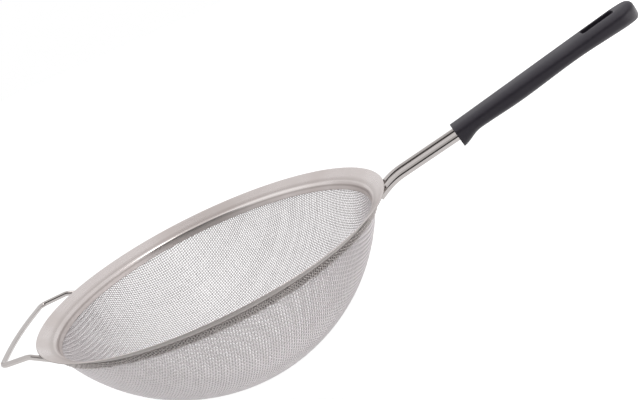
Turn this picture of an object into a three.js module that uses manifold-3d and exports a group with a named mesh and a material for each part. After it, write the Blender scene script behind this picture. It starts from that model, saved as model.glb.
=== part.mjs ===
// Fine mesh sieve: a bowl of woven wire in a stamped rim ring, with a bent-wire rest hook on one side
// and a moulded grip on two rods on the other side.
// Millimetres, +Z up, the handle along +X. The rim's outer edge is the height zero of all the sizes.
import * as THREE from 'three';
import { mergeVertices } from 'three/addons/utils/BufferGeometryUtils.js';
import Module from 'manifold-3d';

// Rim ring, stamped from sheet
const rimRadius = 110; // outer edge of the flange
const flangeWidth = 9.5; // across the flange, seen from above
const flangeAngle = 31; // degrees that the flange climbs outwards
const sheet = 0.8; // thickness of the sheet
const collarDepth = 4.4; // from the bend down to the collar's free edge
const bendRadius = 1.4; // under the bend between flange and collar

// Mesh bowl and the doubled edge of its cloth
const bowlDepth = 77; // from the rim's edge down to the inside of the bowl
const meshThickness = 0.8; // the cloth is two wires thick
const openingsAcross = 12; // a coarse net of openings stands for the fine weave
const netBar = 5.6; // width of the bars between the openings
const netBorder = 1.5; // closed cloth left below the collar
const weaveTurn = 31; // degrees between the weave and the handle
const hemThickness = 0.5;
const hemDepth = 3.2; // from the bend down to the hem's free edge

// Rest hook, one bent wire
const hookWire = 3.2; // diameter
const hookReach = 12.6; // from the rim's edge out to the middle of the bar
const hookWidth = 88.6; // between the corners of the bar
const hookLift = 0.2; // the bar's middle lies this far above the rim's edge
const hookSplay = 10.3; // degrees by which each leg leans away from the handle's direction
const hookBow = 4.8; // the bar bulges outwards by this much in its middle
const bowBend = 300; // bend radius there
const hookBend = 5; // bend radius at the corners of the bar
const hookCrest = 5.5; // a leg follows the flange to this far outside the rim's edge, then levels out
const crestBend = 8; // bend radius there

// Rods of the handle
const rodDiameter = 4.2;
const rodSpacing = 14; // between the rods' middles
const rodAngle = 11.4; // degrees that the rods climb
const rodCorner = 5.8; // the rods turn to that angle this far outside the rim's edge
const rodBend = 40; // bend radius there
const rodTail = 42; // length inside the grip

// Grip
const gripStart = 48.8; // from the rim's edge to the grip's front face
const gripLength = 119.3;
const gripAngle = 13; // degrees that the grip climbs
const gripWidth = 24; // at its widest, near the end
const gripFront = 19.6; // width at the front face
const gripTop = 4.1; // height of the crowned top above the widest line
const gripNeck = 6.4; // depth of the underside below the widest line, just behind the guard
const gripBelly = 7.3; // the same where the fingers close round it
const gripWaist = 6.3; // the same where it is slimmest
const gripHeel = 8.1; // the same at its end
const bellyAt = 40; // from the front face to the belly
const waistAt = 77; // from the front face to the waist
const gripSquare = 2.3; // exponent of the section: 2 is an ellipse, more is squarer
const rodSeat = 1.8; // the rods enter this far below the widest line
const guardDrop = 3.6; // how far the finger guard hangs below the neck
const guardLength = 13; // from the front face to where the guard has run out
const endRounding = 3.5; // of the top and bottom at the grip's end
const slotLength = 19.8;
const slotWidth = 7.5;
const slotCorner = 2.4; // corner radius of the slot
const slotToEnd = 11.5; // material left behind the slot

// Weld beads
const beadLength = 4.6;
const beadHeight = 1.5;

// Fits and fineness
const fit = 0.3; // gap that touching pieces keep
const turnSteps = 72; // facets round the bowl
const bowlSteps = 8; // facets from the bowl's lowest point up to the collar
const wireStep = 3; // length of one step along a wire
const wireSides = 10;

const radians = THREE.MathUtils.degToRad;
const wasm = await Module();
wasm.setup();

// Closed solids for cuts
function solidOf(geometry) {
  const bare = geometry.clone();
  bare.deleteAttribute('normal');
  bare.deleteAttribute('uv');
  const joined = mergeVertices(bare, 1e-4);
  return new wasm.Manifold(new wasm.Mesh({
    numProp: 3,
    vertProperties: new Float32Array(joined.attributes.position.array),
    triVerts: new Uint32Array(joined.index.array),
  }));
}

function geometryOf(solid) {
  const mesh = solid.getMesh();
  const geometry = new THREE.BufferGeometry();
  geometry.setAttribute('position', new THREE.BufferAttribute(mesh.vertProperties, 3));
  geometry.setIndex(new THREE.BufferAttribute(mesh.triVerts, 1));
  geometry.computeVertexNormals();
  return geometry;
}

// A profile of [radius, height] pairs turned round the bowl's upright axis
function turned(profile) {
  const points = profile.map(([r, z]) => new THREE.Vector2(r, z));
  return new THREE.LatheGeometry(points, turnSteps).rotateX(Math.PI / 2);
}

// A round wire through corner points, each inner corner bent to its own radius
function bentWire(corners, bends, radius) {
  const path = new THREE.CurvePath();
  let from = corners[0];
  for (let i = 1; i < corners.length - 1; i += 1) {
    const corner = corners[i];
    const inward = corners[i - 1].clone().sub(corner).normalize();
    const outward = corners[i + 1].clone().sub(corner).normalize();
    const cut = bends[i - 1] * Math.tan((Math.PI - inward.angleTo(outward)) / 2);
    const before = corner.clone().addScaledVector(inward, cut);
    const after = corner.clone().addScaledVector(outward, cut);
    path.add(new THREE.LineCurve3(from, before));
    path.add(new THREE.QuadraticBezierCurve3(before, corner, after));
    from = after;
  }
  path.add(new THREE.LineCurve3(from, corners[corners.length - 1]));
  const section = new THREE.Shape().absarc(0, 0, radius, 0, 2 * Math.PI);
  return new THREE.ExtrudeGeometry(section, {
    extrudePath: path,
    steps: Math.ceil(path.getLength() / wireStep),
    curveSegments: wireSides / 2,
  });
}

// Rim ring. The flange's line runs in from the edge to the bend, and the collar goes down from it.
const slope = radians(flangeAngle);
const edge = new THREE.Vector2(rimRadius, 0);
const flangeWay = new THREE.Vector2(-Math.cos(slope), -Math.sin(slope));
const bend = new THREE.Vector2(rimRadius - flangeWidth, -flangeWidth * Math.tan(slope));

// The bowl is part of a ball. The collar lies just inside it, so the ball passes outside the bend.
const insideFit = sheet + fit;
const bendToBottom = bowlDepth + bend.y;
const bowlRadius = (bend.x ** 2 + bendToBottom ** 2 - insideFit ** 2) / (2 * (bendToBottom - insideFit));
const bowlCentre = bowlRadius - bowlDepth;
const ballRadiusAt = (radius, z) => Math.sqrt(radius ** 2 - (z - bowlCentre) ** 2);

const collarEnd = new THREE.Vector2(0, bend.y - collarDepth);
collarEnd.x = ballRadiusAt(bowlRadius - insideFit, collarEnd.y);
const collarWay = collarEnd.clone().sub(bend).normalize();
const flangeUnder = new THREE.Vector2(-flangeWay.y, flangeWay.x);
const collarOut = new THREE.Vector2(-collarWay.y, collarWay.x);
const miter = flangeUnder.clone().add(collarOut).divideScalar(1 + flangeUnder.dot(collarOut));
const bendUnder = bend.clone().addScaledVector(miter, sheet);
const turn = Math.acos(flangeWay.dot(collarWay));

function roundedBend(corner, radius) {
  const cut = radius * Math.tan(turn / 2);
  const start = corner.clone().addScaledVector(flangeWay, -cut);
  const end = corner.clone().addScaledVector(collarWay, cut);
  return new THREE.QuadraticBezierCurve(start, corner, end).getPoints(4);
}

const rimProfile = [
  edge,
  ...roundedBend(bend, bendRadius + sheet),
  collarEnd,
  collarEnd.clone().addScaledVector(collarOut, sheet),
  ...roundedBend(bendUnder, bendRadius).reverse(),
  edge.clone().addScaledVector(flangeUnder, sheet),
  edge,
].map((p) => [p.x, p.y]);

// Mesh bowl and hem, as shells of the ball. The bowl ends just under the bend, and the hem goes on up to the
// flange.
const clothTop = bendUnder.y - fit;
const hemBottom = bend.y - hemDepth;

const ballPoint = (radius, angle) => [radius * Math.sin(angle), bowlCentre - radius * Math.cos(angle)];
function ballArc(radius, fromAngle, toAngle, steps) {
  return Array.from({ length: steps + 1 }, (_, i) => (
    ballPoint(radius, THREE.MathUtils.lerp(fromAngle, toAngle, i / steps))
  ));
}

const angleAt = (radius, z) => Math.acos((bowlCentre - z) / radius);
const flangeToCentre = rimRadius * Math.sin(slope) + bowlCentre * Math.cos(slope);
const angleUnderFlange = (radius) => slope + Math.acos((flangeToCentre + sheet + fit) / radius);
const meshOuter = bowlRadius + meshThickness;
const bowlSide = (radius) => [
  ...ballArc(radius, 0, angleAt(radius, collarEnd.y), bowlSteps),
  ballPoint(radius, angleAt(radius, clothTop)),
];
const bowlProfile = [...bowlSide(meshOuter), ...bowlSide(bowlRadius).reverse()];

// Crossings of a quarter of the net on a ball of radius one, from its lowest point. Wires don't stretch, so
// when three corners of a cell are known, the fourth is the first one mirrored in the plane of the other two.
const netAngle = 2 * angleAt(bowlRadius, clothTop) / openingsAcross;
const netCount = openingsAcross / 2 + 1;
const net = [];
for (let i = 0; i < netCount; i += 1) {
  net.push([new THREE.Vector3(Math.sin(i * netAngle), 0, -Math.cos(i * netAngle))]);
  for (let j = 1; j < netCount; j += 1) {
    if (i === 0) {
      net[0].push(new THREE.Vector3(0, Math.sin(j * netAngle), -Math.cos(j * netAngle)));
    } else {
      const mirror = new THREE.Vector3().crossVectors(net[i][j - 1], net[i - 1][j]).normalize();
      net[i].push(net[i - 1][j - 1].clone().reflect(mirror));
    }
  }
}

// A block through the cloth between four directions from the ball's middle, in one of the four quarters
function netOpening(ways, signX, signY) {
  const reaches = [bowlRadius - meshThickness, meshOuter + meshThickness];
  return wasm.Manifold.hull(reaches.flatMap((reach) => (
    ways.map((way) => [signX * reach * way.x, signY * reach * way.y, reach * way.z])
  )));
}

// The openings are the cells without their bars. A cell that lies mostly behind the rim stays closed.
const netTop = collarEnd.y - netBorder;
const openShare = 1 - netBar / (netAngle * bowlRadius);
const openings = [];
for (let i = 0; i < netCount - 1; i += 1) {
  for (let j = 0; j < netCount - 1; j += 1) {
    const corners = [net[i][j], net[i + 1][j], net[i + 1][j + 1], net[i][j + 1]];
    const middle = corners.reduce((sum, corner) => sum.add(corner), new THREE.Vector3()).normalize();
    const ways = corners.map((corner) => middle.clone().lerp(corner, openShare).normalize());
    if (bowlCentre + bowlRadius * middle.z < netTop) {
      for (const [signX, signY] of [[1, 1], [1, -1], [-1, 1], [-1, -1]]) {
        openings.push(netOpening(ways, signX, signY));
      }
    }
  }
}
const netSolid = wasm.Manifold.union(openings)
  .rotate([0, 0, weaveTurn])
  .translate([0, 0, bowlCentre])
  .trimByPlane([0, 0, -1], -netTop);
const bowlSolid = solidOf(turned(bowlProfile)).subtract(netSolid);

const hemInner = meshOuter + fit;
const hemOuter = hemInner + hemThickness;
const hemProfile = [
  ...ballArc(hemOuter, angleAt(hemOuter, hemBottom), angleUnderFlange(hemOuter), 2),
  ...ballArc(hemInner, angleUnderFlange(hemInner), angleAt(hemInner, hemBottom), 2),
];
hemProfile.push(hemProfile[0]);

// A wire that follows the flange from below: its middle keeps the sheet and a fit away from the top face
const underFlange = (r, radius) => (
  (r - rimRadius) * Math.tan(slope) - (sheet + fit + radius) / Math.cos(slope)
);

// Where a straight line from a point, going a way, first comes within a wire's radius of the hem
function endAtHem(from, way, radius) {
  const centre = new THREE.Vector3(0, 0, bowlCentre);
  const offset = from.clone().sub(centre);
  const half = offset.dot(way);
  const rest = offset.lengthSq() - (hemOuter + fit + radius) ** 2;
  return from.clone().addScaledVector(way, -half - Math.sqrt(half ** 2 - rest));
}

// Handle rods, in upright planes on both sides of the middle
const rodRadius = rodDiameter / 2;
const cornerX = rimRadius + rodCorner;
const cornerZ = underFlange(cornerX, rodRadius);
const rodClimb = Math.tan(radians(rodAngle));
const rodHeightAt = (x) => cornerZ + (x - cornerX) * rodClimb;
const frontX = rimRadius + gripStart;
const tailX = frontX + rodTail * Math.cos(radians(rodAngle));

function rodCorners(y) {
  const corner = new THREE.Vector3(cornerX, y, cornerZ);
  const down = new THREE.Vector3(flangeWay.x, 0, flangeWay.y);
  return [endAtHem(corner, down, rodRadius), corner, new THREE.Vector3(tailX, y, rodHeightAt(tailX))];
}

// Rest hook: end of a leg, where the leg leaves the flange, corner, and the same mirrored
const hookRadius = hookWire / 2;

function hookLeg(side) {
  const corner = new THREE.Vector3(-rimRadius - hookReach, side * hookWidth / 2, hookLift);
  const way = new THREE.Vector2(Math.cos(radians(hookSplay)), side * Math.sin(radians(hookSplay)));
  const plan = new THREE.Vector2(corner.x, corner.y);
  const leaveAt = (r) => {
    const half = plan.dot(way);
    return plan.clone().addScaledVector(way, -half - Math.sqrt(half ** 2 - plan.lengthSq() + r ** 2));
  };
  const onFlange = (r) => {
    const p = leaveAt(r);
    return new THREE.Vector3(p.x, p.y, underFlange(r, hookRadius));
  };
  const leave = onFlange(rimRadius + hookCrest);
  const inner = onFlange(rimRadius - flangeWidth / 2);
  return [endAtHem(leave, inner.sub(leave).normalize(), hookRadius), leave, corner];
}

const nearLeg = hookLeg(-1);
const farLeg = hookLeg(1);
const barMiddle = new THREE.Vector3(-rimRadius - hookReach - hookBow, 0, hookLift);
const hookCorners = [...nearLeg, barMiddle, ...farLeg.slice().reverse()];
const hookBends = [crestBend, hookBend, bowBend, hookBend, crestBend];

// Weld beads: in the groove on each side of a wire, midway between its end and the rim's edge
const rimKeepOut = solidOf(turned([
  [0, hemBottom],
  ...ballArc(hemOuter + fit, angleAt(hemOuter + fit, hemBottom), angleUnderFlange(hemOuter + fit), 3),
  [rimRadius + flangeWidth, underFlange(rimRadius + flangeWidth, 0)],
  [rimRadius + flangeWidth, rimRadius],
  [0, rimRadius],
]));

function weldBead(end, leave, radius, side) {
  const way = leave.clone().sub(end).normalize();
  const shareUnderRim = (underFlange(rimRadius, radius) - end.z) / (leave.z - end.z);
  const middle = end.clone().lerp(leave, shareUnderRim / 2);
  const outward = new THREE.Vector3(middle.x, middle.y, 0).normalize();
  const up = outward.clone().multiplyScalar(-Math.sin(slope)).setZ(Math.cos(slope));
  const across = new THREE.Vector3().crossVectors(up, way).normalize();
  const turnedTo = new THREE.Matrix4().makeBasis(way, across, up);
  const centre = middle.clone().addScaledVector(up, radius).addScaledVector(across, side * (radius + fit));
  const bead = new THREE.SphereGeometry(1, 14, 10).scale(beadLength / 2, beadHeight, beadHeight);
  bead.applyMatrix4(turnedTo).translate(centre.x, centre.y, centre.z);
  const wire = new THREE.CylinderGeometry(radius + fit, radius + fit, 4 * beadLength, 24);
  wire.rotateZ(-Math.PI / 2).applyMatrix4(turnedTo).translate(middle.x, middle.y, middle.z);
  return geometryOf(solidOf(bead).subtract(solidOf(wire)).subtract(rimKeepOut));
}

// Grip: a closed tube whose sections are set along its axis, then the slot and the rods' bores are cut.
// In its own frame the axis is X from the front face, and the widest line is at height zero.
const halfWide = gripWidth / 2;
const roundFrom = gripLength - halfWide;
const gripStations = [
  ...[0, 0.1, 0.25, 0.4, 0.55, 0.7, 0.85, 1].map((t) => t * guardLength),
  ...[1, 2, 3, 4, 5, 6, 7, 8].map((n) => n / 8).map((t) => THREE.MathUtils.lerp(guardLength, roundFrom, t)),
  ...[15, 30, 45, 57, 67, 75, 81, 85].map((a) => roundFrom + halfWide * Math.sin(radians(a))),
];

const undersides = [
  [guardLength, gripNeck],
  [bellyAt, gripBelly],
  [waistAt, gripWaist],
  [gripLength, gripHeel],
];

function undersideAt(u) {
  let depth = gripNeck;
  for (let i = 1; i < undersides.length; i += 1) {
    const [[start, before], [end, after]] = [undersides[i - 1], undersides[i]];
    depth += (after - before) * THREE.MathUtils.smoothstep(u, start, end);
  }
  return depth;
}

function gripSection(u) {
  const along = THREE.MathUtils.smoothstep(u, 0, roundFrom);
  const intoEnd = Math.max(0, u - roundFrom) / halfWide;
  const guard = 1 - THREE.MathUtils.smoothstep(u, 0, guardLength);
  const lastLength = Math.max(0, u - (gripLength - endRounding)) / endRounding;
  const drawIn = endRounding * (1 - Math.sqrt(1 - lastLength ** 2));
  return {
    wide: THREE.MathUtils.lerp(gripFront / 2, halfWide, along) * Math.sqrt(1 - intoEnd ** 2),
    top: gripTop - drawIn,
    under: undersideAt(u) + guardDrop * guard - drawIn,
  };
}

const squarer = (v) => Math.sign(v) * Math.abs(v) ** (2 / gripSquare);
const gripBody = new THREE.CylinderGeometry(1, 1, 1, 28, gripStations.length - 1);
const gripPoints = gripBody.attributes.position;
for (let i = 0; i < gripPoints.count; i += 1) {
  const u = gripStations[Math.round((gripPoints.getY(i) + 0.5) * (gripStations.length - 1))];
  const { wide, top, under } = gripSection(u);
  const across = squarer(-gripPoints.getX(i)) * wide;
  const height = squarer(gripPoints.getZ(i));
  gripPoints.setXYZ(i, u, across, height * (height > 0 ? top : under));
}

const slotEnd = gripLength - slotToEnd;
const slotOutline = new THREE.Shape();
const slotHalf = slotWidth / 2;
const slotStart = slotEnd - slotLength;
slotOutline.moveTo(slotStart + slotCorner, -slotHalf);
slotOutline.lineTo(slotEnd - slotCorner, -slotHalf);
slotOutline.absarc(slotEnd - slotCorner, slotCorner - slotHalf, slotCorner, -Math.PI / 2, 0);
slotOutline.absarc(slotEnd - slotCorner, slotHalf - slotCorner, slotCorner, 0, Math.PI / 2);
slotOutline.lineTo(slotStart + slotCorner, slotHalf);
slotOutline.absarc(slotStart + slotCorner, slotHalf - slotCorner, slotCorner, Math.PI / 2, Math.PI);
slotOutline.absarc(slotStart + slotCorner, slotCorner - slotHalf, slotCorner, Math.PI, 1.5 * Math.PI);
const slotDepth = 2 * (gripTop + gripHeel);
const slotCut = new THREE.ExtrudeGeometry(slotOutline, {
  depth: slotDepth,
  bevelEnabled: false,
  curveSegments: 3,
});
slotCut.translate(0, 0, -slotDepth / 2);

const climb = radians(gripAngle);
const gripUp = new THREE.Vector3(-Math.sin(climb), 0, Math.cos(climb));
const gripPlace = new THREE.Matrix4()
  .makeTranslation(new THREE.Vector3(frontX, 0, rodHeightAt(frontX)).addScaledVector(gripUp, rodSeat))
  .multiply(new THREE.Matrix4().makeRotationY(-climb));

let gripSolid = solidOf(gripBody).subtract(solidOf(slotCut)).transform(gripPlace.elements);
for (const side of [-1, 1]) {
  const bore = bentWire(
    [
      new THREE.Vector3(cornerX, side * rodSpacing / 2, cornerZ),
      new THREE.Vector3(tailX + fit, side * rodSpacing / 2, rodHeightAt(tailX + fit)),
    ],
    [],
    rodRadius + fit,
  );
  gripSolid = gripSolid.subtract(solidOf(bore));
}

// The finished pieces and what they are made of
const steel = { color: 0xc8c3c0, metalness: 1 };
const brushed = new THREE.MeshStandardMaterial({ ...steel, roughness: 0.32 });
const polished = new THREE.MeshStandardMaterial({ ...steel, roughness: 0.14 });
const woven = new THREE.MeshStandardMaterial({ color: 0xb9b6b8, metalness: 1, roughness: 0.38 });
const plastic = new THREE.MeshStandardMaterial({ color: 0x2b2a2e, metalness: 0, roughness: 0.55 });

const sieve = new THREE.Group();
function piece(name, geometry, material) {
  const mesh = new THREE.Mesh(geometry, material);
  mesh.name = name;
  sieve.add(mesh);
}

piece('rim_ring', turned(rimProfile), brushed);
piece('mesh_bowl', geometryOf(bowlSolid), woven);
piece('mesh_hem', turned(hemProfile), woven);
piece('rest_hook', bentWire(hookCorners, hookBends, hookRadius), polished);
piece('grip', geometryOf(gripSolid), plastic);
for (const [name, side] of [['right', -1], ['left', 1]]) {
  const rod = rodCorners(side * rodSpacing / 2);
  const leg = side < 0 ? nearLeg : farLeg;
  piece(`handle_rod_${name}`, bentWire(rod, [rodBend], rodRadius), polished);
  for (const [edgeName, edgeSide] of [['a', -1], ['b', 1]]) {
    piece(`rod_weld_${name}_${edgeName}`, weldBead(rod[0], rod[1], rodRadius, edgeSide), brushed);
    piece(`hook_weld_${name}_${edgeName}`, weldBead(leg[0], leg[1], hookRadius, edgeSide), brushed);
  }
}

// The origin is on the ground under the middle of the whole sieve
const box = new THREE.Box3().setFromObject(sieve);
sieve.position.set(-(box.min.x + box.max.x) / 2, -(box.min.y + box.max.y) / 2, -box.min.z);

export default sieve;
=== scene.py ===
# %% [markdown]
# # Fine mesh sieve
# The sieve is a bowl of woven steel wire in a stamped rim, with a bent-wire hook on one side and a dark
# moulded grip on two rods on the other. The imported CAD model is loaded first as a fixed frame, so every
# piece made here goes exactly where the CAD says. All lengths are in metres, written as millimetres
# times `mm`.

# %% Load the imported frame
from math import acos, cos, pi, radians, sin, sqrt, tan

import bmesh
import bpy
from mathutils import Matrix, Vector


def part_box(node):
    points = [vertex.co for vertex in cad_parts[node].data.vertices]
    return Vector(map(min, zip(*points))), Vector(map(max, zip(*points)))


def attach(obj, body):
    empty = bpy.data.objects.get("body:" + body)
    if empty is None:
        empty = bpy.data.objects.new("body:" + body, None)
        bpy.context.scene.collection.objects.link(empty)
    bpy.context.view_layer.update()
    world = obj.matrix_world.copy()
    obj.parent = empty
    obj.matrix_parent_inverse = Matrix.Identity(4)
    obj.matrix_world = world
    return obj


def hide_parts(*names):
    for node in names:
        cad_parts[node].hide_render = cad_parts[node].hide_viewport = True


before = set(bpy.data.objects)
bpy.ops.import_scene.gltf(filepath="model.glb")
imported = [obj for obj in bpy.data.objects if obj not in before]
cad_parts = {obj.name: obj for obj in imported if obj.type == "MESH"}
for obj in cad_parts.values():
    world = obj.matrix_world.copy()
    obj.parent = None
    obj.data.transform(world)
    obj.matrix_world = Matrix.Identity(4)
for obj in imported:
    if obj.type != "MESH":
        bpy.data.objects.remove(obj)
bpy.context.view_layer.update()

mm = 0.001
scene = bpy.context.scene
print("CAD nodes:", len(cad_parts))

# %% [markdown]
# Most sizes follow from the frame. The rim's box gives the bowl's upright axis and the height of the
# rim's edge. The bowl's box is that of a cap cut from a ball, so its height and half width give the
# ball's radius.

# %% Read the main places from the frame
rim_low, rim_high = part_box("rim_ring")
axis = Vector(((rim_low.x + rim_high.x) / 2, 0, 0))
rim_edge = axis + Vector((0, 0, rim_high.z))
rim_radius = 110 * mm

bowl_low, bowl_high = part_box("mesh_bowl")
cap_half = (bowl_high.x - bowl_low.x) / 2
cap_height = bowl_high.z - bowl_low.z
ball_radius = (cap_half ** 2 + cap_height ** 2) / (2 * cap_height)
ball_centre = axis + Vector((0, 0, bowl_low.z + ball_radius))
cloth_top = bowl_high.z
print(f"rim edge at {rim_edge.z:.4f} m, ball radius {ball_radius:.4f} m")

# %% [markdown]
# ## Camera
# The photograph looks at the sieve from the side and a little from above, with the camera rolled, so the
# handle climbs to the right. The camera's place was found by fitting the rim, rods and grip together.
# The picture is taken to be 640 x 400, and a focal length of 1000 of its pixels is this lens on a
# 36 mm sensor.

# %% Place the camera
view_turn = radians(5.5)
view_rise = radians(15.42)
view_roll = radians(-24.58)
view_distance = 585.3 * mm
view_right = -64.61 * mm
view_up = -32.0 * mm

back = Vector((sin(view_turn) * cos(view_rise), -cos(view_turn) * cos(view_rise), sin(view_rise)))
level = Vector((cos(view_turn), sin(view_turn), 0))
upright = back.cross(level)
right = cos(view_roll) * level + sin(view_roll) * upright
up = cos(view_roll) * upright - sin(view_roll) * level
eye = rim_edge + view_distance * back - view_right * right - view_up * up

camera = bpy.data.objects.new("camera", bpy.data.cameras.new("camera"))
camera.data.sensor_fit = "HORIZONTAL"
camera.data.sensor_width = 36
camera.data.lens = 56.25
camera.matrix_world = Matrix.Translation(eye) @ Matrix((right, up, back)).transposed().to_4x4()
scene.collection.objects.link(camera)
scene.camera = camera
print("camera at", [round(v, 3) for v in eye])

# %% [markdown]
# ## Shader sums
# A finish is easier to read as a formula than as a web of nodes. This small class wraps one socket, so
# that `1 - mask` or `0.3 + 0.1 * grain` adds the Math nodes by itself. Every other node comes from its
# one method `node`, which takes the type, the settings and the inputs.

# %% A socket that takes part in sums
class Flow:
    """One value on its way through a tree of nodes."""

    def __init__(self, tree, socket):
        self.tree = tree
        self.socket = socket

    def node(self, kind, settings, inputs, output=0):
        made = self.tree.nodes.new(kind)
        for name, value in settings.items():
            setattr(made, name, value)
        for name, value in inputs.items():
            if isinstance(value, Flow):
                self.tree.links.new(value.socket, made.inputs[name])
            else:
                made.inputs[name].default_value = value
        return Flow(self.tree, made.outputs[output])

    def math(self, operation, first, second=0.0):
        return self.node("ShaderNodeMath", {"operation": operation}, {0: first, 1: second})

    def __add__(self, other):
        return self.math("ADD", self, other)

    def __radd__(self, other):
        return self.math("ADD", other, self)

    def __sub__(self, other):
        return self.math("SUBTRACT", self, other)

    def __rsub__(self, other):
        return self.math("SUBTRACT", other, self)

    def __mul__(self, other):
        return self.math("MULTIPLY", self, other)

    def __rmul__(self, other):
        return self.math("MULTIPLY", other, self)

    def noise(self, scale, detail=2.0):
        return self.node("ShaderNodeTexNoise", {}, {"Vector": self, "Scale": scale, "Detail": detail})

    def between(self, low, high):
        """0 below low, 1 above high, and a smooth step from one to the other."""
        return self.node(
            "ShaderNodeMapRange", {"interpolation_type": "SMOOTHSTEP"},
            {"Value": self, "From Min": low, "From Max": high},
        )

    def colours(self, first, second):
        """The first colour where this value is 0 and the second where it is 1."""
        ends = [colour if isinstance(colour, Flow) else (*colour, 1.0) for colour in (first, second)]
        return self.node("ShaderNodeMix", {"data_type": "RGBA"}, {0: self, 6: ends[0], 7: ends[1]}, 2)

    def bump(self, depth, strength):
        return self.node("ShaderNodeBump", {}, {"Height": self, "Distance": depth, "Strength": strength})


print("shader sums ready")

# %% [markdown]
# Every finish is one Principled shader. What is the same all over a piece is set on the shader's own
# sockets, and what changes over it is fed in afterwards. So this helper makes the material and gives back
# a function for the second part. Patterns follow the Object coordinates, which are metres here.

# %% A finish and its feed
def new_finish(name, **constants):
    """A material, a function that feeds its shader, and the place on the piece in metres."""
    material = bpy.data.materials.new(name)
    material.use_nodes = True
    tree = material.node_tree
    shader = tree.nodes["Principled BSDF"]
    for key, value in constants.items():
        shader.inputs[key.replace("_", " ")].default_value = value

    def feed(**inputs):
        for key, value in inputs.items():
            tree.links.new(value.socket, shader.inputs[key.replace("_", " ")])

    place = Flow(tree, tree.nodes.new("ShaderNodeTexCoord").outputs["Object"])
    return material, feed, place


print("finishes ready")

# %% [markdown]
# ## Studio
# The photograph has a plain white ground. The floor and the world are white to the camera and in
# reflections, but give the sieve less light than that, so that its own colours stay as written. A white
# lit by strong lamps would do too, but it would bleach the steel.

# %% White world
def seen_white(tree):
    """1 for what the camera sees, in a mirror or through glass too, and 0 for light that spreads."""
    path = tree.nodes.new("ShaderNodeLightPath")
    names = ("Is Camera Ray", "Is Glossy Ray", "Is Transmission Ray")
    camera_ray, glossy_ray, through_ray = [Flow(tree, path.outputs[name]) for name in names]
    return (camera_ray + glossy_ray + through_ray).between(0.0, 1.0)


room_light = 0.42
world = bpy.data.worlds.new("white_room")
world.use_nodes = True
scene.world = world
room = world.node_tree
strength = room_light + (1 - room_light) * seen_white(room)
room.links.new(strength.socket, room.nodes["Background"].inputs["Strength"])
room.nodes["Background"].inputs["Color"].default_value = (1.0, 1.0, 1.0, 1.0)
print("world made, with a room light of", room_light)

# %% [markdown]
# The floor glows just enough to be white where it is lit, so the shadow under the bowl stays as a faint
# grey. Under the handle its glow is raised far above white, a painted pool of light as if the ground were
# lit from that side, and the rods and the right of the cloth mirror that.

# %% White floor
floor_half = 4.0
bright_from, bright_to = 0.1, 0.6
left_glow = (0.82, 0.82, 0.82)
# painted pool of light: the floor's glow under the handle, far brighter than white
right_painted_light = (2.3, 2.25, 2.25)


def mesh_of(name, bm):
    mesh = bpy.data.meshes.new(name)
    bm.to_mesh(mesh)
    bm.free()
    return mesh


bm = bmesh.new()
bmesh.ops.create_grid(bm, x_segments=1, y_segments=1, size=floor_half)
floor_mesh = mesh_of("floor", bm)
floor = bpy.data.objects.new("floor", floor_mesh)
scene.collection.objects.link(floor)

floor_paint, feed_floor, spot = new_finish(
    "floor_paint", Base_Color=(0.35, 0.35, 0.35, 1.0), Roughness=0.9, Emission_Strength=1.0,
)
to_right = spot.node("ShaderNodeSeparateXYZ", {}, {0: spot}, "X").between(bright_from, bright_to)
# painted pool of light: the glow rises from even white on the left to the much brighter glow under the
# handle
glow = to_right.colours(left_glow, right_painted_light)
feed_floor(Emission_Color=seen_white(spot.tree).colours((0.0, 0.0, 0.0), glow))
floor_mesh.materials.append(floor_paint)
print("floor made,", 2 * floor_half, "m wide")

# %% [markdown]
# One large soft lamp hangs overhead, a little behind the sieve, so that its shadow falls towards the
# camera. Reflections don't see it, because the cards below do that part.

# %% Overhead lamp
lamp = bpy.data.objects.new("overhead_lamp", bpy.data.lights.new("overhead_lamp", "AREA"))
lamp.data.energy = 9.0
lamp.data.size = 1.1
lamp_place = Vector((0.1, 0.25, 1.35))
lamp_facing = (lamp_place - rim_edge).to_track_quat("Z", "Y").to_matrix().to_4x4()
lamp.matrix_world = Matrix.Translation(lamp_place) @ lamp_facing
lamp.visible_glossy = False
scene.collection.objects.link(lamp)
print("lamp of", lamp.data.energy, "W hung")

# %% [markdown]
# Polished wire looks like metal only where it mirrors something dark, so cards hang round the sieve, as
# photographers do, and only reflections see them. The largest is a dark piece of a ball on the camera's
# side, which draws the dark line along each rod. It is one arc, spun round the rim's axis, and it turns
# grey towards the top, where the flange mirrors it.

# %% Dark card that only reflections see
card_distance = 1.2
card_low, card_high = radians(9.5), radians(82)
card_left, card_right = radians(-25), radians(60)
fade_from = radians(34)


def hang_card(name, mesh, finish):
    card = bpy.data.objects.new(name, mesh)
    card.visible_camera = False
    card.visible_diffuse = False
    card.visible_transmission = False
    card.visible_shadow = False
    scene.collection.objects.link(card)
    mesh.materials.append(finish)
    return card


def card_point(rise):
    return rim_edge + card_distance * Vector((0, -cos(rise), sin(rise)))


bm = bmesh.new()
bm.edges.new([bm.verts.new(card_point(rise)) for rise in (card_low, card_high)])
bmesh.ops.subdivide_edges(bm, edges=bm.edges[:], cuts=12)
for vert in bm.verts:
    vert.co = rim_edge + card_distance * (vert.co - rim_edge).normalized()
bmesh.ops.rotate(bm, cent=rim_edge, matrix=Matrix.Rotation(card_left, 4, "Z"), verts=bm.verts)
bmesh.ops.spin(
    bm, geom=bm.verts[:] + bm.edges[:], cent=rim_edge, axis=(0, 0, 1),
    angle=card_right - card_left, steps=24,
)
dark_paint, feed_dark, spot = new_finish(
    "dark_paint", Base_Color=(0.0, 0.0, 0.0, 1.0), Emission_Strength=1.0,
)
card_height = spot.node("ShaderNodeSeparateXYZ", {}, {0: spot}, "Z")
card_grey = card_height.between(card_point(fade_from).z, card_point(card_high).z)
feed_dark(Emission_Color=card_grey.colours((0.005, 0.005, 0.005), (0.62, 0.6, 0.59)))
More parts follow.
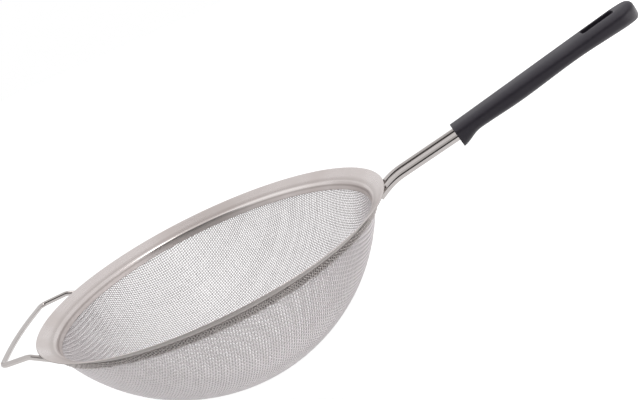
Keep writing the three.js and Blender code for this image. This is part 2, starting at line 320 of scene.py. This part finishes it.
dark_card = hang_card("dark_card", mesh_of("dark_card", bm), dark_paint)
print("dark card of", len(dark_card.data.polygons), "faces hung")

# %% [markdown]
# Four small discs do the rest. A grey one above dims the flange at the back, and a bright one beside it
# draws the light stripe along the bend. A grey one behind on the left and a bright one on the right make
# the cloth lighter on the sides that face right. Each fades to the room's white, so it leaves no edge.

# %% Round cards
card_core = 0.3


def round_card(name, way, radius, colour):
    """A disc of one colour in its middle, which fades to the white of the room at its edge."""
    bm = bmesh.new()
    bmesh.ops.create_circle(bm, cap_ends=True, radius=radius, segments=48)
    paint, feed, spot = new_finish(name, Base_Color=(0.0, 0.0, 0.0, 1.0), Emission_Strength=1.0)
    from_middle = spot.node("ShaderNodeVectorMath", {"operation": "LENGTH"}, {0: spot}, "Value")
    feed(Emission_Color=from_middle.between(card_core * radius, radius).colours(colour, (1.0, 1.0, 1.0)))
    card = hang_card(name, mesh_of(name, bm), paint)
    facing = way.to_track_quat("-Z", "Y").to_matrix().to_4x4()
    card.matrix_world = Matrix.Translation(rim_edge + card_distance * way) @ facing


round_card("grey_card", Vector((-0.08, 0.2, 0.97)).normalized(), 0.36, (0.62, 0.6, 0.585))
round_card("left_card", Vector((-0.62, 0.68, 0.3)).normalized(), 0.5, (0.7, 0.685, 0.68))
round_card("stripe_card", Vector((0.34, -0.1, 0.93)).normalized(), 0.3, (5.0, 4.9, 4.8))
round_card("right_card", Vector((0.85, -0.5, 0.1)).normalized(), 0.42, (5.0, 4.9, 4.9))
print("round cards hung")

# %% [markdown]
# ## From mesh to piece
# Every piece ends in the same way: its mesh becomes an object at the origin with smooth shading, it rides
# on the one body, and it stands for its CAD nodes.

# %% Settle a finished piece
def settle(name, mesh, material, slot, *stands_for):
    mesh.materials.clear()
    mesh.materials.append(material)
    mesh.shade_smooth()
    piece = bpy.data.objects.new(name, mesh)
    scene.collection.objects.link(piece)
    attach(piece, "root")
    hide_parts(*stands_for)
    mesh.calc_loop_triangles()
    print(f"{name}: {len(mesh.loop_triangles)} triangles before modifiers")
    return piece


def outward_mesh(name, bm):
    """A closed mesh whose faces all point outwards."""
    bmesh.ops.recalc_face_normals(bm, faces=bm.faces)
    return mesh_of(name, bm)


print("pieces can be settled")

# %% [markdown]
# ## Rim ring
# The rim is one strip of sheet steel, stamped to a ring: a flange that climbs outwards, a rounded bend
# and a short collar inside the cloth. It could be modelled as a flat ring and bent, but a turned part is
# most exact when its outline is drawn once and spun round the axis. The outline is a flat face first,
# because bevel can then round each of its corners.

# %% Draw the rim's outline
flange_width = 9.5 * mm
flange_angle = radians(31)
sheet = 0.8 * mm
collar_depth = 4.4 * mm
bend_radius = 1.4 * mm
fit = 0.3 * mm
cloth_thickness = 0.8 * mm

ball_inner = ball_radius - cloth_thickness
edge = Vector((rim_radius, 0, rim_edge.z))
flange_way = Vector((-cos(flange_angle), 0, -sin(flange_angle)))
flange_under = Vector((sin(flange_angle), 0, -cos(flange_angle)))
bend = edge + flange_way * flange_width / cos(flange_angle)

collar_z = bend.z - collar_depth
collar_reach = ball_inner - sheet - fit
collar_end = Vector((sqrt(collar_reach ** 2 - (collar_z - ball_centre.z) ** 2), 0, collar_z))
collar_way = (collar_end - bend).normalized()
collar_out = Vector((-collar_way.z, 0, collar_way.x))
bend_turn = flange_way.angle(collar_way)
miter = (flange_under + collar_out) / (1 + flange_under.dot(collar_out))
bend_under = bend + sheet * miter
outline = [edge, bend, collar_end]
outline += [collar_end + sheet * collar_out, bend_under, edge + sheet * flange_under]
print("collar ends at", [round(v, 4) for v in collar_end])

# %% Round its corners and spin it
sheet_rounding = 0.3 * mm
rim_steps = 240


def round_corner(bm, vert, radius, turn, segments):
    bmesh.ops.bevel(
        bm, geom=[vert], offset=radius * tan(turn / 2), segments=segments, profile=0.5,
        affect="VERTICES", material=-1,
    )


bm = bmesh.new()
corners = [bm.verts.new(point + axis) for point in outline]
bm.faces.new(corners)
for point, corner in zip(outline, corners):
    if point is bend:
        round_corner(bm, corner, bend_radius + sheet, bend_turn, 10)
    elif point is bend_under:
        round_corner(bm, corner, bend_radius, bend_turn, 8)
    else:
        round_corner(bm, corner, sheet_rounding, pi / 2, 3)
long_edges = [e for e in bm.edges if e.calc_length() > 2 * mm]
bmesh.ops.subdivide_edges(bm, edges=long_edges, cuts=7)
bmesh.ops.delete(bm, geom=bm.faces[:], context="FACES_ONLY")
bmesh.ops.spin(
    bm, geom=bm.verts[:] + bm.edges[:], cent=axis, axis=(0, 0, 1),
    angle=2 * pi, steps=rim_steps, use_merge=True,
)
rim_mesh = outward_mesh("rim", bm)
print("rim outline points:", len(rim_mesh.vertices) // rim_steps)

# %% [markdown]
# The rim's steel is satin: the strip was polished along its length, so very fine marks run round the
# ring, and handling has left soft, slightly warmer patches. Stamping has left the bend a little smoother
# at the sides, the collar duller and the underside rougher. A painted highlight runs along the bend at
# the sides, with a line of painted shade on both sides of the bend, and the underside is painted lighter
# near the bend, where it lies in shade. All this follows the ring, so the radius and the angle are worked
# out from the Object coordinates first.

# %% Places on the ring
satin, feed_satin, spot = new_finish("satin_steel", Metallic=1.0)
centred = spot.node("ShaderNodeVectorMath", {"operation": "SUBTRACT"}, {0: spot, 1: axis})
across, along, height = [
    centred.node("ShaderNodeSeparateXYZ", {}, {0: centred}, way) for way in ("X", "Y", "Z")
]
from_axis = across.math("SQRT", across * across + along * along)
round_axis = across.math("ARCTAN2", along, across)
from_bend = from_axis - bend.x
# painted highlight: a light stripe along the bend, only at the sides where the bend mirrors the light;
# the same mask makes the bend a little smoother there
at_sides = (along * along).between(0.3 * bend.x ** 2, 0.8 * bend.x ** 2)
on_bend = from_bend.between(-0.9 * mm, 0.1 * mm) * (1 - from_bend.between(0.5 * mm, 1.2 * mm))
burnish_and_painted_highlight = at_sides * on_bend
# painted shade: a darker line on the flange just outside the bend
shaded = from_bend.between(1.0 * mm, 1.8 * mm) * (1 - from_bend.between(2.0 * mm, 4.5 * mm))
on_collar = 1 - height.between(bend.z - 1.6 * mm, bend.z - 0.4 * mm)
# painted shade: a darker line on the collar just below the bend
below_bend = on_collar * height.between(bend.z - 2.6 * mm, bend.z - 1.4 * mm)
below_top = (from_axis - rim_radius) * tan(flange_angle) + rim_edge.z - height
beneath = below_top.between(0.3 * mm, 0.7 * mm) * from_bend.between(0.3 * mm, 1.2 * mm)
print("bend at", round(bend.x, 4), "m from the axis")

# %% [markdown]
# The marks come from noise that is stretched along the ring: it changes every fraction of a millimetre
# across the strip, but only a few times round it. The colours are then laid over each other: plain steel,
# its lines of painted shade, the painted highlight on the bend and, on the underside, its own colour with
# painted light near the bend.

# %% Satin steel
fine, coarse = 2600, 5
round_place = across.node(
    "ShaderNodeCombineXYZ", {}, {"X": fine * from_axis, "Y": coarse * round_axis, "Z": fine * height},
)
marks = round_place.noise(1.0, 3.0)
patches = spot.noise(28.0, 3.0).between(0.35, 0.7)
plain = patches.colours((0.635, 0.585, 0.575), (0.575, 0.52, 0.503))
# painted light: the underside is painted lighter near the bend, where it lies in shade
matt_with_painted_light = from_bend.between(2.0 * mm, 8.0 * mm).colours((0.66, 0.625, 0.61), (0.4, 0.375, 0.365))
# painted shade: the lines beside the bend are painted dark
painted_shade_lines = (0.45 * shaded + 0.75 * below_bend).colours(plain, (0.36, 0.315, 0.30))
# painted highlight: the bend is painted near white at the sides
topside = (0.55 * burnish_and_painted_highlight).colours(painted_shade_lines, (0.95, 0.9, 0.88))
feed_satin(
    Base_Color=beneath.colours(topside, matt_with_painted_light),
    Roughness=0.2 + 0.12 * marks + 0.07 * patches + 0.22 * on_collar - 0.1 * burnish_and_painted_highlight + 0.35 * beneath,
    Normal=marks.bump(0.03 * mm, 0.12),
)
settle("rim", rim_mesh, satin, "rim_steel", "rim_ring")

# %% [markdown]
# ## Woven cloth
# The bowl is plain-woven wire: each wire goes over one and under the next. It is pressed from a flat
# sheet. Wires hardly stretch, so the small squares of the weave turn to diamonds towards the bowl's
# diagonals. Such a net can be worked out cell by cell: when three corners of a cell are known, the
# fourth is the first one mirrored in the plane through the other two and the ball's middle.
# One quarter is enough, because the others are its mirror images.

# %% Lay out a net on the ball
def quarter_net(step, count):
    """Directions from the ball's middle to the crossings of one quarter, as (across, along, down)."""
    net = [[None] * count for n in range(count)]
    for n in range(count):
        net[n][0] = Vector((sin(n * step), 0, cos(n * step)))
        net[0][n] = Vector((0, sin(n * step), cos(n * step)))
    for i in range(1, count):
        for j in range(1, count):
            first, one, other = net[i - 1][j - 1], net[i][j - 1], net[i - 1][j]
            mirror = one.cross(other).normalized()
            net[i][j] = first - 2 * first.dot(mirror) * mirror
    return net


def wires_on_ball(radius, pitch, turn, half_wire, low, high):
    """Runs of points for the wires of both directions, cut to the heights between low and high."""
    step = pitch / radius
    count = int(acos((ball_centre.z - high) / radius) / step) + 3
    net = quarter_net(step, count)
    spin = Matrix.Rotation(turn, 3, "Z")

    def crossing(i, j):
        spot = net[abs(i)][abs(j)]
        return spin @ Vector((spot.x if i > 0 else -spot.x, spot.y if j > 0 else -spot.y, -spot.z))

    def crimped(ways, side):
        """A wire that passes outside one crossing and inside the next."""
        points = []
        for n, (way, after) in enumerate(zip(ways, ways[1:])):
            lift = half_wire * (side if n % 2 else -side)
            points.append(ball_centre + way * (radius + lift))
            points.append(ball_centre + (way + after).normalized() * radius)
        return points

    def run_cuts(points):
        runs, run, last = [], [], None
        for point in points:
            inside = low <= point.z <= high
            if last is not None and inside != (low <= last.z <= high):
                level = high if max(point.z, last.z) > high else low
                cut = last.lerp(point, (level - last.z) / (point.z - last.z))
                run.append(cut)
                if not inside:
                    runs.append(run)
                    run = []
            if inside:
                run.append(point)
            last = point
        return runs + ([run] if len(run) > 1 else [])

    reach = range(1 - count, count)
    warp, weft = [], []
    for j in reach:
        side = 1 if j % 2 else -1
        warp.append(run_cuts(crimped([crossing(i, j) for i in reach], side)))
        weft.append(run_cuts(crimped([crossing(j, i) for i in reach], -side)))
    return warp, weft


print("net and wires can be laid out")

# %% [markdown]
# A curve with a bevel turns each run of points into a thin tube. Four sides are enough for a wire that
# is thinner than a pixel, and keep the cloth light, because there are tens of thousands of crossings.
# Both directions are halved, so that no piece gets too many triangles. The finish of a wire is the same
# all over, because its look comes from the weave itself, but the weft is a little duller: it is beaten
# up tight against the cloth in the loom.

# %% Turn runs of points into wire
square_share = pi / sqrt(8)  # a square section of this diagonal looks as wide as a round wire


def wire_piece(name, wires, thickness, material, *stands_for):
    curve = bpy.data.curves.new(name, "CURVE")
    curve.dimensions = "3D"
    curve.bevel_depth = square_share * thickness / 2
    curve.bevel_resolution = 0
    curve.use_fill_caps = True
    for runs in wires:
        for run in runs:
            spline = curve.splines.new("POLY")
            spline.points.add(len(run) - 1)
            spline.points.foreach_set("co", [v for point in run for v in (*point, 1.0)])
    holder = bpy.data.objects.new(name, curve)
    mesh = bpy.data.meshes.new_from_object(holder)
    bpy.data.objects.remove(holder)
    bpy.data.curves.remove(curve)
    return settle(name, mesh, material, "wire_cloth", *stands_for)


def wire_finish(name, metallic, roughness, colour):
    return new_finish(name, Metallic=metallic, Roughness=roughness, Base_Color=(*colour, 1.0))[0]


warp_wire = wire_finish("warp_wire", 0.8, 0.4, (0.78, 0.745, 0.755))
weft_wire = wire_finish("weft_wire", 0.8, 0.4, (0.6, 0.57, 0.575))
pitch = 1.56 * mm
wire = 0.5 * mm
weave_turn = radians(31)
cloth_radius = ball_radius - (1 + square_share) * wire / 2
cloth_end = collar_z + mm
warp, weft = wires_on_ball(cloth_radius, pitch, weave_turn, wire / 2, bowl_low.z - mm, cloth_end)
middle = len(warp) // 2
wire_piece("cloth_warp_1", warp[:middle], wire, warp_wire, "mesh_bowl")
wire_piece("cloth_warp_2", warp[middle:], wire, warp_wire, "mesh_bowl")
wire_piece("cloth_weft_1", weft[:middle], wire, weft_wire, "mesh_bowl")
wire_piece("cloth_weft_2", weft[middle:], wire, weft_wire, "mesh_bowl")

# %% [markdown]
# ## Hem
# The edge of the cloth is folded back on itself outside the collar, so a second layer lies there. Its
# wires run at another angle after the fold, and little light gets to the layer between them and the
# steel, so that layer's wire is painted dark as shade, and the outer layer is painted darker than the
# cloth too. That makes the darker, grainy band under the flange. Both layers are the same net again: one
# continues the cloth behind the collar, and one lies a little further out, cut to the hem's heights.

# %% Lay the folded edge over the cloth
hem_low, hem_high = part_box("mesh_hem")
hem_turn = weave_turn + radians(33)
# painted shade: the wires of the layer between the hem and the collar are painted dark, as little light
# gets there
wire_shaded = wire_finish("wire_shaded", 1.0, 0.6, (0.26, 0.235, 0.225))
edge_warp, edge_weft = wires_on_ball(cloth_radius, pitch, weave_turn, wire / 2, cloth_end, cloth_top)
wire_piece("edge_warp", edge_warp, wire, wire_shaded, "mesh_bowl")
wire_piece("edge_weft", edge_weft, wire, wire_shaded, "mesh_bowl")

# painted shade: the hem's outer wires are painted darker than the cloth's, as they lie under the flange
hem_wire_painted_shade = wire_finish("hem_wire_painted_shade", 1.0, 0.4, (0.5, 0.465, 0.455))
hem_radius = ball_radius + fit + wire
hem_warp, hem_weft = wires_on_ball(hem_radius, pitch, hem_turn, wire / 2, hem_low.z, hem_high.z)
wire_piece("hem_warp", hem_warp, wire, hem_wire_painted_shade, "mesh_hem")
wire_piece("hem_weft", hem_weft, wire, hem_wire_painted_shade, "mesh_hem")

# %% [markdown]
# ## Bent wires
# The rods and the hook are plain round wire, bent in a jig. They are made in the same way: a circle is
# extruded along the straights and spun round each bend. That gives true arcs, and even rings for clean
# reflections. A ring just before each flat end keeps the smooth shading of the end off the straights.

# %% Bend a wire
end_hold = 0.5 * mm
arc_step = radians(5)
fewest_steps = 6


def drawn_on(bm, ring, vec):
    """Extrude a ring of edges by a vector, and give the new ring."""
    made = bmesh.ops.extrude_edge_only(bm, edges=ring)["geom"]
    verts = [g for g in made if isinstance(g, bmesh.types.BMVert)]
    bmesh.ops.translate(bm, vec=vec, verts=verts)
    return [g for g in made if isinstance(g, bmesh.types.BMEdge) and all(v in verts for v in g.verts)]


def bent_wire(name, corners, bends, radius, sides=32):
    bm = bmesh.new()
    way = (corners[1] - corners[0]).normalized()
    facing = Matrix.Translation(corners[0]) @ way.to_track_quat("Z", "Y").to_matrix().to_4x4()
    bmesh.ops.create_circle(bm, cap_ends=True, radius=radius, segments=sides, matrix=facing)
    ring = drawn_on(bm, bm.edges[:], end_hold * way)
    at = corners[0] + end_hold * way
    for n, corner in enumerate(corners[1:]):
        way = (corner - at).normalized()
        cut = end_hold
        if n < len(bends):
            after = (corners[n + 2] - corner).normalized()
            turn = way.angle(after)
            cut = bends[n] * tan(turn / 2)
        ring = drawn_on(bm, ring, corner - cut * way - at)
        if n < len(bends):
            axle = way.cross(after).normalized()
            hub = corner - cut * way + bends[n] * axle.cross(way)
            made = bmesh.ops.spin(
                bm, geom=ring + list({v for e in ring for v in e.verts}), cent=hub, axis=axle,
                angle=turn, steps=max(fewest_steps, int(turn / arc_step)),
            )["geom_last"]
            ring = [g for g in made if isinstance(g, bmesh.types.BMEdge)]
            at = corner + cut * after
    ring = drawn_on(bm, ring, end_hold * way)
    bmesh.ops.contextual_create(bm, geom=ring)
    return outward_mesh(name, bm)


print("wire can be bent")

# %% [markdown]
# The two rods start under the flange, follow its slope outwards, turn to a gentler climb and end deep in
# the grip. Their corners are counted from the middle of the rim's edge. The flange and the hem set where
# a wire can lie, so two helpers work that out, instead of places that are read off by eye.

# %% Find places along the rim
hem_thickness = 0.5 * mm


def from_rim(x, y, z):
    return rim_edge + Vector((x, y, z))


def under_flange(reach, radius):
    """Height of a wire's middle, above the rim's edge, where it lies along the flange from below."""
    return (reach - rim_radius) * tan(flange_angle) - (sheet + fit + radius) / cos(flange_angle)


def end_at_hem(start, way, radius):
    """Where a straight line from start first comes within a wire's radius of the hem."""
    offset = start - ball_centre
    half = offset.dot(way)
    keep_out = ball_radius + fit + hem_thickness + fit + radius
    return start + way * (-half - sqrt(half ** 2 - offset.length_squared + keep_out ** 2))


print("rim's edge is", round(rim_edge.z, 4), "m up")

# %% Route of the rods
rod_low, rod_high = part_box("handle_rod_left")
rod_radius = (rod_high.y - rod_low.y) / 2
rod_side = (rod_high.y + rod_low.y) / 2
rod_climb = radians(11.4)
rod_bend = 40 * mm
rod_corner_x = rim_radius + 5.8 * mm
rod_corner_z = under_flange(rod_corner_x, rod_radius)
front_x = rim_radius + 48.8 * mm
rod_tail = 42 * mm


def rod_height(x):
    return rod_corner_z + (x - rod_corner_x) * tan(rod_climb)


def rod_route(y):
    corner = from_rim(rod_corner_x, y, rod_corner_z)
    tail_x = front_x + rod_tail * cos(rod_climb)
    return [end_at_hem(corner, flange_way, rod_radius), corner, from_rim(tail_x, y, rod_height(tail_x))]


print("rods", round(2 * rod_radius, 4), "m thick")

# %% [markdown]
# The hook is one wire: both legs start under the flange on the far side from the handle, spread a little,
# and a gently bowed bar joins them. One leg is worked out for either side, and the bar's bow is one more
# bend with a very large radius.

# %% Route of the hook
hook_radius = 1.6 * mm
hook_reach = 12.6 * mm
hook_width = 88.6 * mm
hook_lift = 0.2 * mm
hook_splay = radians(10.3)
hook_bow = 4.8 * mm
hook_crest = 5.5 * mm
hook_bends = [8 * mm, 5 * mm, 300 * mm, 5 * mm, 8 * mm]


def hook_leg(side):
    plan = Vector((-rim_radius - hook_reach, side * hook_width / 2, 0))
    way = Vector((cos(hook_splay), side * sin(hook_splay), 0))

    def on_flange(reach):
        half = plan.dot(way)
        spot = plan + way * (-half - sqrt(half ** 2 - plan.length_squared + reach ** 2))
        return from_rim(spot.x, spot.y, under_flange(reach, hook_radius))

    leave = on_flange(rim_radius + hook_crest)
    inward = (on_flange(rim_radius - flange_width / 2) - leave).normalized()
    return [end_at_hem(leave, inward, hook_radius), leave, from_rim(plan.x, plan.y, hook_lift)]


bar_middle = from_rim(-rim_radius - hook_reach - hook_bow, 0, hook_lift)
hook_route = hook_leg(-1) + [bar_middle] + hook_leg(1)[::-1]
print("hook route:", len(hook_route), "corners")

# %% [markdown]
# Drawn and polished wire mirrors the room almost cleanly. Only a faint haze and short scuffs dull it in
# places, so a little noise moves the roughness, and a finer one scratches the surface.

# %% Polished wire
polish, feed_polish, spot = new_finish("polished_wire", Metallic=1.0)
haze = spot.noise(60.0, 3.0)
scuffs = spot.noise(900.0, 2.0)
feed_polish(
    Base_Color=haze.colours((0.47, 0.44, 0.43), (0.53, 0.5, 0.49)),
    Roughness=0.03 + 0.04 * haze + 0.02 * scuffs,
    Normal=scuffs.bump(0.01 * mm, 0.06),
)
hook_mesh = bent_wire("hook", hook_route, hook_bends, hook_radius)
settle("hook", hook_mesh, polish, "polished_wire", "rest_hook")
for name, side in (("right", -1), ("left", 1)):
    rod_mesh = bent_wire(f"rod_{name}", rod_route(side * rod_side), [rod_bend], rod_radius)
    settle(f"rod_{name}", rod_mesh, polish, "polished_wire", f"handle_rod_{name}")

# %% [markdown]
# ## Weld beads
# Small beads of weld hold each wire under the flange. The CAD beads have the right place and size but
# flat facets, so a copy of each is merged, subdivided and smoothed. Weld metal is a little duller, with
# a straw and blue tint from the heat.

# %% Heat-tinted beads
weld, feed_weld, spot = new_finish("weld_metal", Metallic=1.0)
tint = spot.noise(380.0, 3.0)
feed_weld(
    Base_Color=tint.between(0.4, 0.65).colours((0.55, 0.5, 0.43), (0.4, 0.4, 0.43)),
    Roughness=0.3 + 0.2 * tint,
    Normal=spot.noise(1600.0, 2.0).bump(0.08 * mm, 0.3),
)


same_place = 0.001 * mm
bead_rounds = 3
bead_ease = 0.35


def smooth_bead(node):
    bm = bmesh.new()
    bm.from_mesh(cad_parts[node].data)
    bmesh.ops.remove_doubles(bm, verts=bm.verts, dist=same_place)
    bmesh.ops.subdivide_edges(bm, edges=bm.edges[:], cuts=1, use_grid_fill=True)
    bmesh.ops.triangulate(bm, faces=bm.faces[:])
    for n in range(bead_rounds):
        bmesh.ops.smooth_vert(
            bm, verts=bm.verts, factor=bead_ease, use_axis_x=True, use_axis_y=True, use_axis_z=True,
        )
    return outward_mesh(node, bm)


for node in sorted(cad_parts):
    if "_weld_" in node:
        settle(f"bead_{node}", smooth_bead(node), weld, "rim_steel", node)

# %% [markdown]
# ## Grip
# The grip is one moulding of dark plastic: a crowned top, a rounder underside with a finger guard at
# the front, a slim waist, and a rounded end with a hanging slot. A smooth moulding with a hole is a good
# case for a subdivision surface. A grid is rolled into a tube whose rows are the grip's sections, and two
# of its lines run along the slot's sides, so that the slot can be cut along them later.

# %% The grip's sections
grip_length = 119.3 * mm
grip_climb = radians(13)
half_wide = 12 * mm
half_front = 9.8 * mm
grip_top = 4.1 * mm
rod_seat = 1.8 * mm
guard_drop = 3.6 * mm
guard_length = 13 * mm
end_rounding = 3.5 * mm
section_power = 2.3
slot_half = 3.75 * mm
slot_end = grip_length - 11.5 * mm
slot_start = slot_end - 19.8 * mm
round_from = grip_length - half_wide
undersides = [(guard_length, 6.4 * mm), (40 * mm, 7.3 * mm), (77 * mm, 6.3 * mm)]
undersides += [(grip_length, 8.1 * mm)]


def smoothstep(value, start, end):
    share = min(1.0, max(0.0, (value - start) / (end - start)))
    return share * share * (3 - 2 * share)


def underside(u):
    depth = undersides[0][1]
    for (start, before), (end, after) in zip(undersides, undersides[1:]):
        depth += (after - before) * smoothstep(u, start, end)
    return depth


def section(u):
    """Half width, height of the top and depth of the underside, at a length from the front face."""
    along = smoothstep(u, 0, round_from)
    into_end = max(0, u - round_from) / half_wide
    last_length = max(0, u - (grip_length - end_rounding)) / end_rounding
    draw_in = end_rounding * (1 - sqrt(1 - last_length ** 2))
    wide = (half_front + (half_wide - half_front) * along) * sqrt(1 - into_end ** 2)
    guard = guard_drop * (1 - smoothstep(u, 0, guard_length))
    return wide, grip_top - draw_in, underside(u) + guard - draw_in


print("grip's section at its waist:", [round(v, 4) for v in section(77 * mm)])

# %% Where the sections and their points lie
slot_insets = (0, 2.2 * mm, 6.5 * mm)
stations = [0, 0.5, 1.6, 3.5, 6, 8.5, 11, 13.5, 18, 24, 32, 40, 48, 56, 64, 71, 77, 82, 85.5]
stations = [u * mm for u in stations]
stations += [slot_start + inset for inset in slot_insets]
stations += [slot_end - inset for inset in slot_insets[::-1]]
stations += [round_from + half_wide * sin(radians(a)) for a in (12, 24, 36, 47, 57, 66, 74, 80, 85)]
side_steps = (0, 0.25, 0.5, 0.72, 0.88, 0.97, 1)


def across_shares(u):
    """Shares of the half width from side to side, with the slot's two sides among them."""
    slot_share = slot_half / section(min(u, slot_end))[0]
    side = [slot_share + (1 - slot_share) * step for step in side_steps]
    return [-share for share in side[::-1]] + [0] + side


columns = len(across_shares(0))
around = 2 * columns - 2
print("grip:", len(stations), "sections of", around, "points")

# %% Roll the grid into the grip
grip_place = (
    Matrix.Translation(from_rim(front_x, 0, rod_height(front_x)))
    @ Matrix.Rotation(-grip_climb, 4, "Y")
    @ Matrix.Translation((0, 0, rod_seat))
)
bm = bmesh.new()
bmesh.ops.create_grid(bm, x_segments=around, y_segments=len(stations) - 1, size=0.5)
for vert in bm.verts:
    column = round((vert.co.x + 0.5) * around) % around
    row = round((vert.co.y + 0.5) * (len(stations) - 1))
    u = stations[row]
    wide, top, under = section(u)
    over_top = column < columns
    share = across_shares(u)[column if over_top else around - column]
    crown = (1 - abs(share) ** section_power) ** (1 / section_power)
    vert.co = Vector((u, share * wide, crown * (top if over_top else -under)))
bmesh.ops.remove_doubles(bm, verts=bm.verts, dist=same_place)
print("grip rolled:", len(bm.faces), "faces")

# %% [markdown]
# The slot is opened by deleting the faces over it in the top and in the underside, and the two openings
# are bridged. A cutting operator would do it too, but its odd faces would dent a subdivision surface.

# %% Open the slot
def over_slot(face):
    middle = face.calc_center_median()
    return slot_start < middle.x < slot_end and abs(middle.y) < slot_half


def beside_slot(edge):
    middle = (edge.verts[0].co.x + edge.verts[1].co.x) / 2
    return slot_start - mm < middle < slot_end + mm


bmesh.ops.delete(bm, geom=[f for f in bm.faces if over_slot(f)], context="FACES")
at_slot = [e for e in bm.edges if e.is_boundary and beside_slot(e)]
bmesh.ops.bridge_loops(bm, edges=at_slot)
print("slot edges bridged:", len(at_slot))

# %% Round the slot and close the ends
slot_rounding = 0.7 * mm
cap_inset = 0.03
bmesh.ops.bevel(
    bm, geom=at_slot, offset=slot_rounding, segments=2, profile=0.5, affect="EDGES", material=-1,
)
open_ends = [e for e in bm.edges if e.is_boundary]
caps = bmesh.ops.holes_fill(bm, edges=open_ends)["faces"]
for cap in sorted(caps, key=lambda face: face.calc_area()):
    bmesh.ops.inset_region(bm, faces=[cap], thickness=cap_inset * sqrt(cap.calc_area()))
bmesh.ops.transform(bm, matrix=grip_place, verts=bm.verts)
grip_mesh = outward_mesh("grip_moulding", bm)
print("grip faces:", len(grip_mesh.polygons))

# %% [markdown]
# Moulded plastic of this kind has a fine satin grain from the mould, with slightly smoother, shinier
# patches where hands have rubbed it. The grain goes to the bump, a broader noise to the roughness and,
# very faintly, to the colour. A subdivision surface then smooths the moulding.

# %% Charcoal plastic
plastic, feed_plastic, spot = new_finish("charcoal_plastic", Specular_IOR_Level=0.3)
grain = spot.noise(2600.0, 2.0)
rubbed = spot.noise(45.0, 3.0).between(0.35, 0.7)
feed_plastic(
    Base_Color=rubbed.colours((0.0236, 0.0196, 0.0292), (0.0286, 0.0242, 0.0346)),
    Roughness=0.44 + 0.08 * grain - 0.06 * rubbed,
    Normal=grain.bump(0.04 * mm, 0.18),
)
grip = settle("grip_moulding", grip_mesh, plastic, "grip_plastic", "grip")
smoother = grip.modifiers.new("smooth_moulding", "SUBSURF")
smoother.levels = 2
smoother.render_levels = 2

# %% [markdown]
# ## Finish
# Standard colours are chosen, so that a colour renders as it is written.

# %% Colours
scene.view_settings.view_transform = "Standard"
